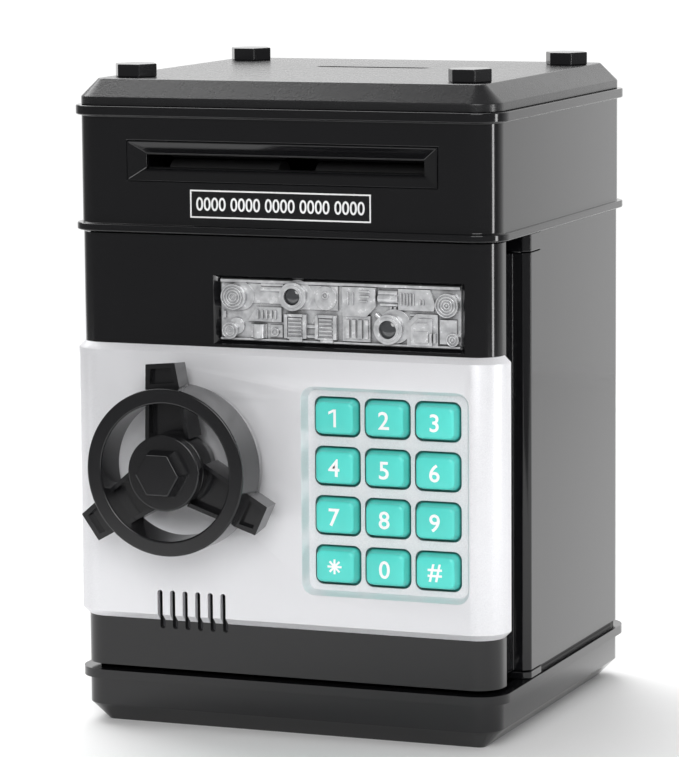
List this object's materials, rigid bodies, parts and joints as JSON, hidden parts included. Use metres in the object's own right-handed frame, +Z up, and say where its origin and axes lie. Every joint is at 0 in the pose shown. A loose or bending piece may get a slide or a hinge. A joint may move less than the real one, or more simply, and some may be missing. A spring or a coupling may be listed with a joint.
{
  "type": "toy atm savings bank",
  "caption": "Toy savings bank shaped like a cash machine: keypad, hand wheel, note feeder, coin slot and hinged door to a cash compartment.",
  "frame": {"origin": "centre of the case's footprint on the surface it stands on", "axes": "+X to the right of the door, +Y to the back, +Z up"},
  "size_m": [0.14, 0.1548, 0.204],
  "materials": {
    "black_plastic": "glossy black moulded plastic",
    "lid_plastic": "finely textured black plastic",
    "satin_plastic": "satin black plastic",
    "inner_plastic": "plain moulded black plastic",
    "silver_paint": "satin silver paint on plastic",
    "key_plastic": "turquoise satin plastic",
    "clear_plastic": "clear moulded plastic over silver",
    "label": "printed label",
    "rubber": "soft rubber",
    "circuit_board": "green circuit board",
    "plated_steel": "zinc-plated steel",
    "speaker_metal": "speaker basket",
    "gear_plastic": "white acetal",
    "cell_wrap": "printed foil wrap"
  },
  "bodies": {
    "case": {"base_pan": "black_plastic", "battery_box": "inner_plastic", "battery_contacts": "plated_steel", "battery_cells": "cell_wrap", "battery_cover": "black_plastic", "battery_screw": "plated_steel", "compartment_floor": "inner_plastic", "rear_case": "black_plastic", "latch_keeper": "plated_steel", "upper_shell": "black_plastic", "top_lid": "lid_plastic", "corner_bolts": "satin_plastic", "note_slot_bezel": "black_plastic", "label_plate": "label", "coin_chute": "inner_plastic", "divider_tray": "inner_plastic", "feed_frame": "inner_plastic", "note_guides": "inner_plastic", "feed_motor": "plated_steel", "note_sensor": "circuit_board", "main_board": "circuit_board", "hinge_caps": "black_plastic", "hinge_pins": "plated_steel", "case_screws": "plated_steel"},
    "door": {"door_shell": "black_plastic", "silver_fascia": "silver_paint", "window_relief": "clear_plastic", "led_board": "circuit_board", "keypad_membrane": "rubber", "keypad_board": "circuit_board", "door_inner_cover": "inner_plastic", "speaker": "speaker_metal", "hinge_leaf": "black_plastic", "door_screws": "plated_steel", "lock_solenoid": "plated_steel"},
    "wheel": {"hand_wheel": "satin_plastic", "wheel_hex_cap": "satin_plastic", "wheel_spindle": "plated_steel", "latch_cam": "plated_steel"},
    "plunger": {"lock_plunger": "plated_steel"},
    "key_1": {"key_1": "key_plastic"},
    "key_2": {"key_2": "key_plastic"},
    "key_3": {"key_3": "key_plastic"},
    "key_4": {"key_4": "key_plastic"},
    "key_5": {"key_5": "key_plastic"},
    "key_6": {"key_6": "key_plastic"},
    "key_7": {"key_7": "key_plastic"},
    "key_8": {"key_8": "key_plastic"},
    "key_9": {"key_9": "key_plastic"},
    "key_star": {"key_star": "key_plastic"},
    "key_0": {"key_0": "key_plastic"},
    "key_hash": {"key_hash": "key_plastic"},
    "upper_roller": {"upper_feed_shaft": "plated_steel", "upper_feed_rollers": "rubber", "upper_roller_gears": "gear_plastic"},
    "lower_roller": {"lower_feed_shaft": "plated_steel", "lower_feed_rollers": "rubber", "lower_roller_gear": "gear_plastic"},
    "pinion": {"motor_pinion": "gear_plastic"}
  },
  "joints": [
    {"name": "door_hinge", "type": "hinge", "parent": "case", "child": "door", "pos_m": [0.06275, -0.02905, 0.084], "axis": [0, 0, 1], "range_deg": [0, 105]},
    {"name": "wheel_turn", "type": "hinge", "parent": "door", "child": "wheel", "pos_m": [-0.03, -0.07, 0.0833], "axis": [0, -1, 0], "range_deg": [0, 90]},
    {"name": "lock_bolt", "type": "slide", "parent": "door", "child": "plunger", "axis": [-1, 0, 0], "range_m": [0, 0.003], "stiffness_N_per_m": 60},
    {"name": "press_1", "type": "slide", "parent": "door", "child": "key_1", "axis": [0, 1, 0], "range_m": [0, 0.0012], "stiffness_N_per_m": 400},
    {"name": "press_2", "type": "slide", "parent": "door", "child": "key_2", "axis": [0, 1, 0], "range_m": [0, 0.0012], "stiffness_N_per_m": 400},
    {"name": "press_3", "type": "slide", "parent": "door", "child": "key_3", "axis": [0, 1, 0], "range_m": [0, 0.0012], "stiffness_N_per_m": 400},
    {"name": "press_4", "type": "slide", "parent": "door", "child": "key_4", "axis": [0, 1, 0], "range_m": [0, 0.0012], "stiffness_N_per_m": 400},
    {"name": "press_5", "type": "slide", "parent": "door", "child": "key_5", "axis": [0, 1, 0], "range_m": [0, 0.0012], "stiffness_N_per_m": 400},
    {"name": "press_6", "type": "slide", "parent": "door", "child": "key_6", "axis": [0, 1, 0], "range_m": [0, 0.0012], "stiffness_N_per_m": 400},
    {"name": "press_7", "type": "slide", "parent": "door", "child": "key_7", "axis": [0, 1, 0], "range_m": [0, 0.0012], "stiffness_N_per_m": 400},
    {"name": "press_8", "type": "slide", "parent": "door", "child": "key_8", "axis": [0, 1, 0], "range_m": [0, 0.0012], "stiffness_N_per_m": 400},
    {"name": "press_9", "type": "slide", "parent": "door", "child": "key_9", "axis": [0, 1, 0], "range_m": [0, 0.0012], "stiffness_N_per_m": 400},
    {"name": "press_star", "type": "slide", "parent": "door", "child": "key_star", "axis": [0, 1, 0], "range_m": [0, 0.0012], "stiffness_N_per_m": 400},
    {"name": "press_0", "type": "slide", "parent": "door", "child": "key_0", "axis": [0, 1, 0], "range_m": [0, 0.0012], "stiffness_N_per_m": 400},
    {"name": "press_hash", "type": "slide", "parent": "door", "child": "key_hash", "axis": [0, 1, 0], "range_m": [0, 0.0012], "stiffness_N_per_m": 400},
    {"name": "upper_feed", "type": "hinge", "parent": "case", "child": "upper_roller", "pos_m": [0, -0.045, 0.181], "axis": [1, 0, 0], "continuous": true},
    {"name": "lower_feed", "type": "hinge", "parent": "case", "child": "lower_roller", "pos_m": [0, -0.045, 0.169], "axis": [1, 0, 0], "continuous": true},
    {"name": "pinion_spin", "type": "hinge", "parent": "case", "child": "pinion", "pos_m": [-0.054, -0.03255, 0.1881], "axis": [1, 0, 0], "continuous": true}
  ],
  "couplings": [
    {"joint": "lower_feed", "follows": "upper_feed", "ratio": -1},
    {"joint": "pinion_spin", "follows": "upper_feed", "ratio": -2.8}
  ]
}
